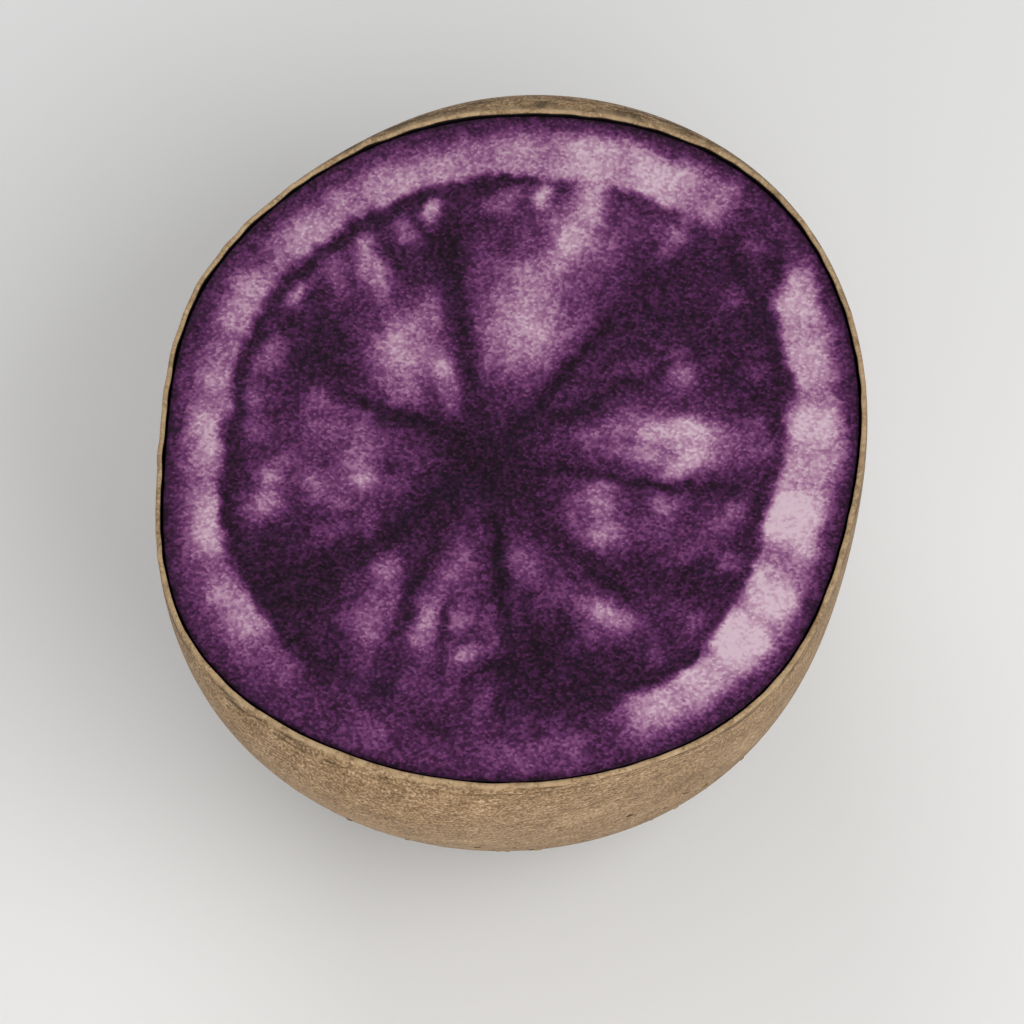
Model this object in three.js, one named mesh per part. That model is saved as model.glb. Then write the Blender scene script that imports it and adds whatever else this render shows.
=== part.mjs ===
// Half of a purple-fleshed potato, cut across its length and set down on its round end with the cut face up.
// Flesh and skin grew together, so the half is one solid. Lengths are in millimetres and +Z is up.
// The origin is under the middle of the half, on the surface that it lies on.
import * as THREE from "three";

// Driving dimensions
const cutHeight = 35.5; // from the surface to the cut edge of the skin
const cutRadius = 27.47; // mean radius of the cut, skin included
const skinThickness = 0.4; // width of the skin's cut edge
const skinStep = 0.25; // how far the flesh has shrunk back below the skin's edge
const stepWidth = 0.25; // width of the slope between the skin's edge and the flesh
const restFlattening = 0.9; // how much of the round end is flat, where the half rests

// The cut is not a true circle. Each wave is [lobes, share of the radius, azimuth of a crest in degrees].
const outlineWaves = [
  [2, 0.0404, 69],
  [3, 0.0077, -51],
  [4, 0.0198, 42],
  [5, 0.0048, 4],
  [6, 0.0032, -28],
  [7, 0.0046, 4],
];

// The body below the cut
const shoulderAngle = THREE.MathUtils.degToRad(3.5); // the cut is this far above the widest place
const fullness = 0.07; // how much blunter the round end is than an ellipse

// The cut was slanted, so the far shoulder swells out under the rim. The near flank swells lower down.
const swellings = [
  { azimuth: 84, size: 4.2, onset: 2.2, decay: 20, narrowness: 6 },
  { azimuth: -110, size: 2.5, onset: 4.8, decay: 20, narrowness: 10 },
];
const drawnIn = { azimuth: -147, size: 1.9, narrowness: 0.8 };

// Broad unevenness of the body: [waves round it, waves down it, height, phase in degrees]
const lumps = [
  [1, 1.0, 0.35, 200],
  [2, 1.5, 0.5, 35],
  [3, 1.0, 0.35, 120],
  [5, 2.0, 0.2, 300],
];
const lumpFade = 7; // depth over which the unevenness grows in below the rim
const lumpReach = 1.5; // how fast it grows in from the round end

// Eyes sit on a spiral, as leaf buds do, and get smaller towards the round end.
const eyes = {
  count: 6,
  firstAzimuth: 14,
  turn: 137.5,
  firstTravel: 0.3,
  travelStep: 0.1,
  width: 4.8,
  shrink: 0.1, // share of the width that each next eye loses
  heightShare: 0.42,
  depthShare: 0.34,
  browShare: 0.16,
  browLift: 0.75, // how far above the hollow the brow runs, in hollow heights
  browBend: 0.07, // how much the brow's ends hang down, per millimetre
  browThickness: 0.6, // in hollow heights
  browReach: 1.3, // in hollow widths
  slant: 14, // degrees, to alternating sides
};

// Faces of the mesh
const stepsRound = 96;
const stepsDown = 36;

const fullDepth = cutHeight + restFlattening;
const poleTravel = 1; // the value of travel at the lowest point
const probe = 1e-3; // a small step along the surface, to find its slope
const eyeRimFade = 3; // depth over which the eyes' relief grows in below the rim

function outlineRadius(azimuth) {
  let share = 1;
  for (const [lobes, size, crest] of outlineWaves) {
    share += size * Math.cos(lobes * (azimuth - THREE.MathUtils.degToRad(crest)));
  }
  return cutRadius * share;
}

// Radius of the body's side outline at a tilt above or below its widest place, before it is scaled
function sideOutline(tilt) {
  return Math.cos(tilt) * (1 + fullness * Math.sin(tilt) ** 2);
}

// 1 on the side that a form faces, and less away from it
function facing(form, azimuth) {
  const away = azimuth - THREE.MathUtils.degToRad(form.azimuth);
  return Math.exp(form.narrowness * (Math.cos(away) - 1));
}

// How far the slanted cut sets the body's side out from its plain outline
function slantHeight(azimuth, drop) {
  let height = -drawnIn.size * facing(drawnIn, azimuth) * Math.sin((Math.PI * drop) / fullDepth);
  for (const swelling of swellings) {
    const out = (1 - Math.exp(-drop / swelling.onset)) * Math.exp(-drop / swelling.decay);
    height += swelling.size * facing(swelling, azimuth) * out;
  }
  return height;
}

function lumpHeight(azimuth, travel, drop) {
  let height = 0;
  for (const [around, down, size, phase] of lumps) {
    const turned = Math.sin(around * azimuth + THREE.MathUtils.degToRad(phase));
    height += size * turned * Math.cos(down * Math.PI * travel);
  }
  const fromRim = 1 - Math.exp(-drop / lumpFade);
  const fromPole = Math.sin((Math.PI * Math.min(1, lumpReach * (poleTravel - travel))) / 2);
  return height * fromRim * fromPole;
}

// A point of the smooth body. Travel runs from 0 at the rim of the cut to 1 at the lowest point.
function bodyPoint(azimuth, travel) {
  const tilt = shoulderAngle - travel * (shoulderAngle + Math.PI / 2);
  const drop = (fullDepth * (Math.sin(shoulderAngle) - Math.sin(tilt))) / (1 + Math.sin(shoulderAngle));
  const spread = sideOutline(tilt) / sideOutline(shoulderAngle);
  const uneven = slantHeight(azimuth, drop) + lumpHeight(azimuth, travel, drop);
  const reach = outlineRadius(azimuth) * spread + uneven * Math.min(1, 2 * spread);
  return new THREE.Vector3(reach * Math.cos(azimuth), reach * Math.sin(azimuth), cutHeight - drop);
}

// Outward direction of the smooth body, with the directions round it and up it
function bodyFrame(azimuth, travel) {
  const at = Math.min(travel, poleTravel - 2 * probe);
  const here = bodyPoint(azimuth, at);
  const around = bodyPoint(azimuth + probe, at).sub(here).normalize();
  const down = bodyPoint(azimuth, at + probe).sub(here).normalize();
  const outward = down.clone().cross(around).normalize();
  return { around, up: outward.clone().cross(around).normalize(), outward };
}

const eyePlaces = Array.from({ length: eyes.count }, (_, i) => {
  const azimuth = THREE.MathUtils.degToRad(eyes.firstAzimuth + i * eyes.turn);
  const travel = eyes.firstTravel + i * eyes.travelStep;
  const frame = bodyFrame(azimuth, travel);
  const slant = THREE.MathUtils.degToRad(i % 2 ? -eyes.slant : eyes.slant);
  return {
    centre: bodyPoint(azimuth, travel),
    outward: frame.outward,
    along: frame.around.clone().applyAxisAngle(frame.outward, slant),
    up: frame.up.clone().applyAxisAngle(frame.outward, slant),
    width: eyes.width * (1 - eyes.shrink * i),
  };
});

function bell(x) {
  return Math.exp(-x * x);
}

// Height of the eyes over the smooth body: a hollow with a raised, drooping brow above it
function eyeRelief(point) {
  let height = 0;
  for (const eye of eyePlaces) {
    const away = point.clone().sub(eye.centre);
    const u = away.dot(eye.along);
    const v = away.dot(eye.up);
    const tall = eye.width * eyes.heightShare;
    const near = bell(away.dot(eye.outward) / (2 * eye.width));
    const browLine = tall * eyes.browLift - eyes.browBend * u * u;
    height -= near * eye.width * eyes.depthShare * bell(u / eye.width) * bell(v / tall);
    const acrossBrow = bell((v - browLine) / (tall * eyes.browThickness));
    height += near * eye.width * eyes.browShare * bell(u / (eye.width * eyes.browReach)) * acrossBrow;
  }
  return height;
}

// The finished skin: the smooth body with its eyes, flat where the half rests
function skinPoint(azimuth, travel) {
  const point = bodyPoint(azimuth, travel);
  const rimFade = Math.min(1, (cutHeight - point.z) / eyeRimFade);
  point.addScaledVector(bodyFrame(azimuth, travel).outward, rimFade * eyeRelief(point));
  point.z = Math.max(0, point.z);
  return point;
}

// One ring of vertices for each row, from the cut face over the skin's edge and down to the round end
function buildHalf() {
  const vertices = [];
  const fleshFaces = [];
  const skinFaces = [];

  function addVertex(point) {
    vertices.push(point.x, point.y, point.z);
    return vertices.length / 3 - 1;
  }

  function addRing(place) {
    const ring = [];
    for (let i = 0; i < stepsRound; i += 1) {
      ring.push(addVertex(place((2 * Math.PI * i) / stepsRound)));
    }
    return ring;
  }

  function joinRings(faces, inner, outer) {
    for (let i = 0; i < stepsRound; i += 1) {
      const next = (i + 1) % stepsRound;
      faces.push(inner[i], outer[i], outer[next], inner[i], outer[next], inner[next]);
    }
  }

  // Round the cut, a set way in from its edge and a set way down
  function cutRing(inset, sunk) {
    return addRing((azimuth) => {
      const radius = outlineRadius(azimuth) - inset;
      return new THREE.Vector3(radius * Math.cos(azimuth), radius * Math.sin(azimuth), cutHeight - sunk);
    });
  }

  const middle = addVertex(new THREE.Vector3(0, 0, cutHeight - skinStep));
  const fleshEdge = cutRing(skinThickness + stepWidth, skinStep);
  for (let i = 0; i < stepsRound; i += 1) {
    fleshFaces.push(middle, fleshEdge[i], fleshEdge[(i + 1) % stepsRound]);
  }
  const skinInside = cutRing(skinThickness, 0);
  joinRings(skinFaces, fleshEdge, skinInside);

  let above = skinInside;
  for (let row = 0; row < stepsDown; row += 1) {
    const ring = addRing((azimuth) => skinPoint(azimuth, row / stepsDown));
    joinRings(skinFaces, above, ring);
    above = ring;
  }
  const lowest = addVertex(skinPoint(0, poleTravel));
  for (let i = 0; i < stepsRound; i += 1) {
    skinFaces.push(above[i], lowest, above[(i + 1) % stepsRound]);
  }

  const geometry = new THREE.BufferGeometry();
  geometry.setAttribute("position", new THREE.Float32BufferAttribute(vertices, 3));
  geometry.setIndex([...fleshFaces, ...skinFaces]);
  geometry.addGroup(0, fleshFaces.length, 0);
  geometry.addGroup(fleshFaces.length, skinFaces.length, 1);

  // The middle of the half, seen from above, goes over the origin.
  geometry.computeBoundingBox();
  const centre = geometry.boundingBox.getCenter(new THREE.Vector3());
  geometry.translate(-centre.x, -centre.y, 0);
  geometry.computeVertexNormals();
  return geometry;
}

const fleshColour = new THREE.Color(0.17, 0.055, 0.14);
const skinColour = new THREE.Color(0.27, 0.19, 0.11);
const flesh = new THREE.MeshStandardMaterial({ color: fleshColour, roughness: 0.5, metalness: 0 });
const skin = new THREE.MeshStandardMaterial({ color: skinColour, roughness: 0.75, metalness: 0 });

const half = new THREE.Mesh(buildHalf(), [flesh, skin]);
half.name = "half_potato";

const potato = new THREE.Group();
potato.add(half);

export default potato;
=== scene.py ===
# Purple potato, cut across. The half lies on its round end with the marbled cut face up.
# Sizes in the dictionaries are in millimetres, angles in degrees and colours in sRGB from 0 to 255.
import math

import bpy
import numpy as np
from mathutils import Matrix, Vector, noise


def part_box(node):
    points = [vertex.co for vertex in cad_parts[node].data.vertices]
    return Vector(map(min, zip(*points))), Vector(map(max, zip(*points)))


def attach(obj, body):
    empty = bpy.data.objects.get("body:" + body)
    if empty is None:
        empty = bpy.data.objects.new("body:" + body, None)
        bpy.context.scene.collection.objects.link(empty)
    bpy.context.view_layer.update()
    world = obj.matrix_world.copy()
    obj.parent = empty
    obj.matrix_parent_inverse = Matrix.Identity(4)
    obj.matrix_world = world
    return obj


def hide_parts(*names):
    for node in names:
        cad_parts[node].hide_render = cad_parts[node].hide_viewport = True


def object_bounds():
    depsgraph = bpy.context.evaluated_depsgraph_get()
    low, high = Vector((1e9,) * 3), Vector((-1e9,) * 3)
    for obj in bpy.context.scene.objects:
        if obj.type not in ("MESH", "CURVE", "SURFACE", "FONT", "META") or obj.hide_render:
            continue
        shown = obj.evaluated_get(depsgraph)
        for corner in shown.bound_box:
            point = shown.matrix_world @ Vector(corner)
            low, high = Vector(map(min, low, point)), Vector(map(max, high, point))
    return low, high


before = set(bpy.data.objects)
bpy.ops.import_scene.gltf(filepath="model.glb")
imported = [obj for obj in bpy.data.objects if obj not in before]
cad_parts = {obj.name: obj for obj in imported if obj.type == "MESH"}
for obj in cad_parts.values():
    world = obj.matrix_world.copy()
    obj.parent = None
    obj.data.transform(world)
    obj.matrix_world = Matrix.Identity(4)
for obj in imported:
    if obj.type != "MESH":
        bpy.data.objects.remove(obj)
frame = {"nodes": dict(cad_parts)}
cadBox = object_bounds()
scene = bpy.context.scene
mm = 0.001
print("frame loaded:", ", ".join(frame["nodes"]))


# The camera looks down on the cut face at the photograph's angle, from far off, so that the lens is long.
view = {
    "azimuth": 0, "elevation": 64, "distance": 1500, "frameWidth": 76, "sensor": 36, "aimHeight": 22,
    "nearest": 50, "furthest": 20000,
}


def makeCamera():
    lens = bpy.data.cameras.new("camera")
    camera = bpy.data.objects.new("camera", lens)
    scene.collection.objects.link(camera)
    rise, turn = math.radians(view["elevation"]), math.radians(view["azimuth"])
    back = Vector((-math.sin(turn) * math.cos(rise), -math.cos(turn) * math.cos(rise), math.sin(rise)))
    camera.location = Vector((0, 0, view["aimHeight"] * mm)) + back * view["distance"] * mm
    camera.rotation_euler = back.to_track_quat("Z", "Y").to_euler()
    lens.sensor_width = view["sensor"]
    lens.lens = view["sensor"] * view["distance"] / view["frameWidth"]
    lens.clip_start, lens.clip_end = view["nearest"] * mm, view["furthest"] * mm
    scene.camera = camera


makeCamera()
print("camera placed")


# Form of the body, as in the solid that it stands for
body = {
    "cutHeight": 35.5, "cutRadius": 27.47, "restFlattening": 0.9,
    # each wave of the cut's outline: how many lobes, its share of the radius, azimuth of a crest
    "waves": [
        (2, 0.0404, 69), (3, 0.0077, -51), (4, 0.0198, 42), (5, 0.0048, 4), (6, 0.0032, -28), (7, 0.0046, 4),
    ],
    # how far the cut is above the widest place, and how much blunter than an ellipse the round end is
    "shoulder": 3.5, "fullness": 0.07,
    # where the side is set out, and where it is drawn in
    "swellings": [
        {"azimuth": 84, "size": 4.2, "onset": 2.2, "decay": 20, "narrowness": 6},
        {"azimuth": -110, "size": 2.5, "onset": 4.8, "decay": 20, "narrowness": 10},
    ],
    "drawnIn": {"azimuth": -147, "size": 1.9, "narrowness": 0.8},
    # each lump: waves round the body, waves down it, height, phase
    "lumps": [(1, 1.0, 0.35, 200), (2, 1.5, 0.5, 35), (3, 1.0, 0.35, 120), (5, 2.0, 0.2, 300)],
    # depth over which they grow in below the rim, and how fast they grow in from the round end
    "lumpFade": 7, "lumpReach": 1.5,
    # fineness of the points that its box is measured with
    "stepsRound": 192, "stepsDown": 72,
}
eyes = {
    "count": 6, "firstAzimuth": 14, "turn": 137.5, "firstTravel": 0.3, "travelStep": 0.1,
    "width": 4.8, "shrink": 0.1, "heightShare": 0.42, "depthShare": 0.34, "browShare": 0.16,
    "browLift": 0.75, "browBend": 0.07, "browThickness": 0.6, "browReach": 1.3, "slant": 14, "rimFade": 3,
    # the sharp fold under the brow, and how much painted shade the hollow beside it gets
    "creaseDepth": 0.45, "creaseThickness": 0.28, "creaseLift": 0.3, "creaseReach": 0.8, "hollowShade": 0.6,
}
fullDepth = body["cutHeight"] + body["restFlattening"]


def bell(x):
    return np.exp(-x * x)


def smoothRise(x, low, high):
    t = np.clip((x - low) / (high - low), 0, 1)
    return t * t * (3 - 2 * t)


def outlineRadius(azimuth):
    share = 1
    for lobes, size, crest in body["waves"]:
        share = share + size * np.cos(lobes * (azimuth - math.radians(crest)))
    return body["cutRadius"] * share


def sideOutline(tilt):
    return np.cos(tilt) * (1 + body["fullness"] * np.sin(tilt) ** 2)


def facing(form, azimuth):
    return np.exp(form["narrowness"] * (np.cos(azimuth - math.radians(form["azimuth"])) - 1))


def unevenness(azimuth, travel, drop):
    drawnIn = body["drawnIn"]
    slant = -drawnIn["size"] * facing(drawnIn, azimuth) * np.sin(math.pi * drop / fullDepth)
    for swelling in body["swellings"]:
        out = (1 - np.exp(-drop / swelling["onset"])) * np.exp(-drop / swelling["decay"])
        slant = slant + swelling["size"] * facing(swelling, azimuth) * out
    lumps = 0
    for around, down, size, phase in body["lumps"]:
        turned = np.sin(around * azimuth + math.radians(phase))
        lumps = lumps + size * turned * np.cos(down * math.pi * travel)
    fromRim = 1 - np.exp(-drop / body["lumpFade"])
    fromPole = np.sin(math.pi * np.minimum(1, body["lumpReach"] * (1 - travel)) / 2)
    return slant + lumps * fromRim * fromPole


# Points of the smooth body. Travel runs from 0 at the rim to 1 at the lowest point.
def bodyPoint(azimuth, travel):
    shoulder = math.radians(body["shoulder"])
    tilt = shoulder - travel * (shoulder + math.pi / 2)
    drop = fullDepth * (math.sin(shoulder) - np.sin(tilt)) / (1 + math.sin(shoulder))
    spread = sideOutline(tilt) / sideOutline(shoulder)
    reach = outlineRadius(azimuth) * spread + unevenness(azimuth, travel, drop) * np.minimum(1, 2 * spread)
    height = np.broadcast_to(body["cutHeight"] - drop, np.shape(reach))
    return np.stack([reach * np.cos(azimuth), reach * np.sin(azimuth), height], axis=-1)


def unit(vectors):
    return vectors / np.linalg.norm(vectors, axis=-1, keepdims=True)


# The directions round the body, up it and out of it
def bodyFrame(azimuth, travel):
    probe = 1e-3  # a small step along the surface, to find its slope
    at = np.minimum(travel, 1 - 2 * probe)
    here = bodyPoint(azimuth, at)
    around = unit(bodyPoint(azimuth + probe, at) - here)
    down = unit(bodyPoint(azimuth, at + probe) - here)
    outward = unit(np.cross(down, around))
    return around, unit(np.cross(outward, around)), outward


def findEyes():
    found = []
    for i in range(eyes["count"]):
        azimuth = np.array(math.radians(eyes["firstAzimuth"] + i * eyes["turn"]))
        travel = np.array(eyes["firstTravel"] + i * eyes["travelStep"])
        around, up, outward = bodyFrame(azimuth, travel)
        slant = math.radians(-eyes["slant"] if i % 2 else eyes["slant"])
        found.append({
            "centre": bodyPoint(azimuth, travel), "outward": outward,
            "along": around * math.cos(slant) + up * math.sin(slant),
            "up": up * math.cos(slant) - around * math.sin(slant),
            "width": eyes["width"] * (1 - eyes["shrink"] * i),
        })
    return found


eyePlaces = findEyes()


# Height of the eyes over the smooth body, and how far in an eye each point is, from 0 to 1, which sets the
# painted shade in its hollow and fold
def eyeRelief(points):
    height, inside = 0, 0
    for eye in eyePlaces:
        away = points - eye["centre"]
        u, v, out = away @ eye["along"], away @ eye["up"], away @ eye["outward"]
        wide, tall = eye["width"], eye["width"] * eyes["heightShare"]
        near = bell(out / (2 * wide))
        hollow = near * bell(u / wide) * bell(v / tall)
        browLine = tall * eyes["browLift"] - eyes["browBend"] * u * u
        acrossBrow = bell((v - browLine) / (tall * eyes["browThickness"]))
        brow = near * bell(u / (wide * eyes["browReach"])) * acrossBrow
        creaseLine = tall * eyes["creaseLift"] - eyes["browBend"] * u * u
        acrossCrease = bell((v - creaseLine) / (tall * eyes["creaseThickness"]))
        crease = near * bell(u / (wide * eyes["creaseReach"])) * acrossCrease
        height = height - wide * eyes["depthShare"] * hollow + wide * eyes["browShare"] * brow
        height = height - eyes["creaseDepth"] * crease
        inside = np.maximum(inside, np.maximum(eyes["hollowShade"] * hollow, crease))
    return height, inside


# The skin's outside: its points, its outward directions, and how far in an eye each point is, which sets the
# painted shade there
def skinSurface(azimuth, travel):
    points = bodyPoint(azimuth, travel)
    outward = bodyFrame(azimuth, travel)[2]
    relief, inside = eyeRelief(points)
    rimFade = np.clip((body["cutHeight"] - points[..., 2]) / eyes["rimFade"], 0, 1)
    points = points + outward * (rimFade * relief)[..., None]
    points[..., 2] = np.maximum(points[..., 2], 0)
    return points, outward, inside * rimFade


# Where the cut's middle stands in the frame, so that the body fills the solid's box
def findMiddle():
    turns = np.linspace(0, 2 * math.pi, body["stepsRound"] + 1)
    travels = np.linspace(0, 1, body["stepsDown"] + 1)
    points = skinSurface(*np.meshgrid(turns, travels, indexing="ij"))[0]
    low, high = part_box("half_potato")
    own = (points.min(axis=(0, 1)) + points.max(axis=(0, 1))) / 2 * mm
    return np.array([(low[0] + high[0]) / 2 - own[0], (low[1] + high[1]) / 2 - own[1], low[2]])


middle = findMiddle()
print("cut's middle at", np.round(middle / mm, 2), "mm")


# Rings of points joined to a surface. Each ring has as many points as the one before it, or half as many.
class Rings:
    def __init__(self, *valueNames):
        self.points, self.faces = [], []
        self.values = {name: [] for name in valueNames}
        self.total = 0

    # Values that aren't given are 0.
    def add(self, points, **values):
        points = np.atleast_2d(points)
        self.points.append(points)
        for name, known in self.values.items():
            known.append(np.broadcast_to(np.asarray(values.get(name, 0.0), float), len(points)))
        self.total += len(points)
        return self.total - len(points), len(points)

    # Faces point out where the second ring is below the first, or further out. Flip turns them round.
    def join(self, first, second, flip=False):
        (a, many), (b, few) = first, second
        made = []
        for i in range(many):
            here, following = a + i, a + (i + 1) % many
            if few == many:
                made.append((here, b + i, b + (i + 1) % few, following))
            elif few == 1:
                made.append((here, b, following))
            elif i % 2 == 0:
                made.append((here, b + i // 2, following))
            else:
                near, far = b + i // 2, b + (i // 2 + 1) % few
                made.extend([(here, near, far), (here, far, following)])
        self.faces.extend([face[::-1] for face in made] if flip else made)

    def mesh(self, name):
        made = bpy.data.meshes.new(name)
        made.from_pydata((np.concatenate(self.points) * mm + middle).tolist(), [], self.faces)
        for key, known in self.values.items():
            numbers = np.concatenate(known).astype(np.float32)
            made.attributes.new(key, "FLOAT", "POINT").data.foreach_set("value", numbers)
        made.shade_smooth()
        return made


def ringAngles(count):
    return np.arange(count) * 2 * math.pi / count


# A ring gets half the points of the last one where they would stand closer than this share of a cell.
tooClose = 0.55


def nextCount(count, radius, cell, fewest):
    crowded = 2 * math.pi * radius / count < tooClose * cell
    return count // 2 if crowded and count >= 2 * fewest else count


def newObject(name, mesh):
    made = bpy.data.objects.new(name, mesh)
    scene.collection.objects.link(made)
    return made


# How far the noise moves on from one seed to the next
seedStep = Vector((7.3, 3.1, 5.7))


# Smooth noise from -1 to 1 at each point, with features of the given size
def noiseAt(points, size, seed):
    offset = seedStep * seed
    return np.array([noise.noise(Vector(point) / size + offset) for point in points])


# A ring of the cut, a set way in from the outline and a set way down
def cutRing(count, inset, sunk):
    angles = ringAngles(count)
    radius = outlineRadius(angles) - inset
    height = np.full(count, body["cutHeight"] - sunk)
    return np.stack([radius * np.cos(angles), radius * np.sin(angles), height], axis=-1)


# The hidden wall between skin and flesh, from the last ring of the cut down to a closed end
hiddenWall = {"fewest": 96, "rows": 40, "start": 0.03}


def addHiddenWall(rings, last, inset, flip, **values):
    for row in range(hiddenWall["rows"]):
        travel = hiddenWall["start"] + (1 - hiddenWall["start"]) * row / hiddenWall["rows"]
        count = last[1] // 2 if last[1] >= 2 * hiddenWall["fewest"] else last[1]
        points, outward, _ = skinSurface(ringAngles(count), np.full(count, travel))
        ring = rings.add(points - outward * inset, **values)
        rings.join(last, ring, flip)
        last = ring
    points, outward, _ = skinSurface(np.zeros(1), np.ones(1))
    rings.join(last, rings.add(points - outward * inset, **values), flip)


# The skin: a shell whose cut edge stands a little proud of the flesh
skin = {
    "thickness": 0.38, "around": 512, "rows": 152, "cell": 0.34, "fewest": 16,
    # each ring of the cut edge: inset from the outline, depth below the cut
    "edge": [
        (0.38, 0.9), (0.38, 0.5), (0.38, 0.2), (0.36, 0.06), (0.3, 0.0), (0.19, -0.02), (0.08, 0.0),
        (0.02, 0.05), (0.0, 0.14),
    ],
    "edgeFrom": 3,  # the first ring of the edge that shows from above
    # how uneven the knife left the edge
    "wobble": 0.09, "wobbleUp": 0.7, "wobbleSize": 1.6, "seed": 1,
    # depths below the rim and heights above the rest over which the skin gets clear of them
    "clearOfRim": (0.4, 3.0), "clearOfRest": (0.05, 0.8),
}


# Mean distance of the smooth body from its axis
def meanRadius(travel):
    angles = ringAngles(8)
    points = bodyPoint(angles, np.full(len(angles), travel))
    return np.mean(np.linalg.norm(points[:, :2], axis=1))


def makeSkinMesh():
    rings = Rings("eye", "cutEdge", "inner", "clear")
    last, first = None, None
    for i, (inset, sunk) in enumerate(skin["edge"]):
        points = cutRing(skin["around"], inset, sunk)
        flat = points * [1, 1, 0]
        uneven = noiseAt(flat, skin["wobbleSize"], skin["seed"])[:, None] * skin["wobble"]
        points = points + uneven * unit(flat) + uneven * [0, 0, skin["wobbleUp"]]
        shows = i >= skin["edgeFrom"]
        # the edge rings below the shown ones face the groove, and the inner colour paints them in shade
        ring = rings.add(points, cutEdge=float(shows), inner=float(not shows))
        if last:
            rings.join(last, ring)
        first = first or ring
        last = ring
    for row in range(1, skin["rows"]):
        travel = row / skin["rows"]
        count = nextCount(last[1], meanRadius(travel), skin["cell"], skin["fewest"])
        points, _, inside = skinSurface(ringAngles(count), np.full(count, travel))
        depth = body["cutHeight"] - points[:, 2]
        clear = smoothRise(depth, *skin["clearOfRim"]) * smoothRise(points[:, 2], *skin["clearOfRest"])
        ring = rings.add(points, eye=inside, clear=clear)
        rings.join(last, ring)
        last = ring
    rings.join(last, rings.add(skinSurface(np.zeros(1), np.ones(1))[0]))
    # the skin's hidden inside is painted in shade too
    addHiddenWall(rings, first, skin["thickness"], True, inner=1.0)
    return rings.mesh("potatoSkin")


# The flesh: a solid inside the shell, with a narrow groove round its cut face
flesh = {
    "around": 768, "rows": 132, "cell": 0.2, "fewest": 12,
    "sunk": 0.2, "groove": 0.17, "filletWidth": 0.12, "filletAngles": (90, 60, 30, 0),
    # the cut face is a little wavy, and dark flesh is sunk
    "waviness": 0.07, "waveSize": 5.0, "ripple": 0.03, "rippleSize": 0.9, "seed": 3,
    "toneHeight": 0.08, "levelTone": 0.5,
}

# The ring of vessels under the skin, painted one over another:
# [azimuth where it starts, azimuth where it ends, depth where it starts, depth where it ends, paleness]
ringParts = [
    # dark lines inside it
    (84, 138, 5.2, 6.3, 0.16), (134, 178, 4.9, 6.0, 0.17), (-184, -158, 4.8, 5.9, 0.18),
    (-160, -132, 5.8, 6.9, 0.18), (-74, -28, 6.0, 6.9, 0.18), (-30, 10, 6.4, 7.2, 0.22),
    (10, 50, 5.7, 6.7, 0.20), (50, 70, 6.3, 7.1, 0.27),
    # soft lengths of it
    (-192, -160, 2.5, 4.5, 0.58), (-164, -136, 2.8, 5.2, 0.60), (-136, -70, 1.6, 3.9, 0.34),
    (-70, -28, 2.5, 5.6, 0.64), (-34, 10, 2.2, 6.0, 0.65), (8, 32, 2.2, 5.2, 0.65),
    (33, 51, 2.4, 4.8, 0.24), (50, 84, 2.2, 5.8, 0.65), (82, 136, 2.5, 5.2, 0.63),
    (134, 175, 2.9, 4.9, 0.60),
    # the pale beads on them
    (-172, -158, 2.8, 4.9, 0.80), (-153, -138, 3.3, 5.9, 0.72), (-140, -130, 3.0, 5.2, 0.50),
    (-118, -112, 1.8, 4.0, 0.46), (-106, -100, 1.7, 3.2, 0.40), (-94, -78, 1.6, 3.7, 0.48),
    (-74, -69, 4.0, 5.2, 0.46), (-66, -58, 2.9, 5.5, 0.78), (-58, -50, 2.5, 5.6, 0.84),
    (-49, -38, 2.4, 6.4, 0.92), (-37, -28, 2.1, 6.4, 0.88), (-22, -9, 2.3, 6.3, 0.92),
    (-8, -1, 1.9, 5.8, 0.78), (0, 8, 2.0, 5.3, 0.88), (13, 23, 2.2, 5.4, 0.80), (25, 32, 2.3, 5.2, 0.84),
    (30, 35.5, 2.0, 3.9, 0.80), (41, 44, 3.2, 4.7, 0.52), (46, 48, 3.4, 4.4, 0.38),
    (52, 57, 2.3, 5.0, 0.66), (59, 69, 2.4, 6.1, 0.86), (70, 82, 2.1, 5.7, 0.82),
    (84, 91, 2.3, 5.3, 0.74), (91, 98, 2.2, 5.1, 0.68), (99, 105, 2.9, 5.6, 0.76),
    (106, 117, 2.6, 5.2, 0.76), (120, 123, 2.6, 5.2, 0.74), (125, 135, 2.7, 5.1, 0.76),
    (137, 140, 2.9, 4.5, 0.60), (143, 155, 2.7, 5.2, 0.76), (156, 162, 2.8, 5.0, 0.62),
    (163, 169, 2.5, 4.8, 0.74), (172, 184, 2.3, 4.4, 0.80),
]

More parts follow.
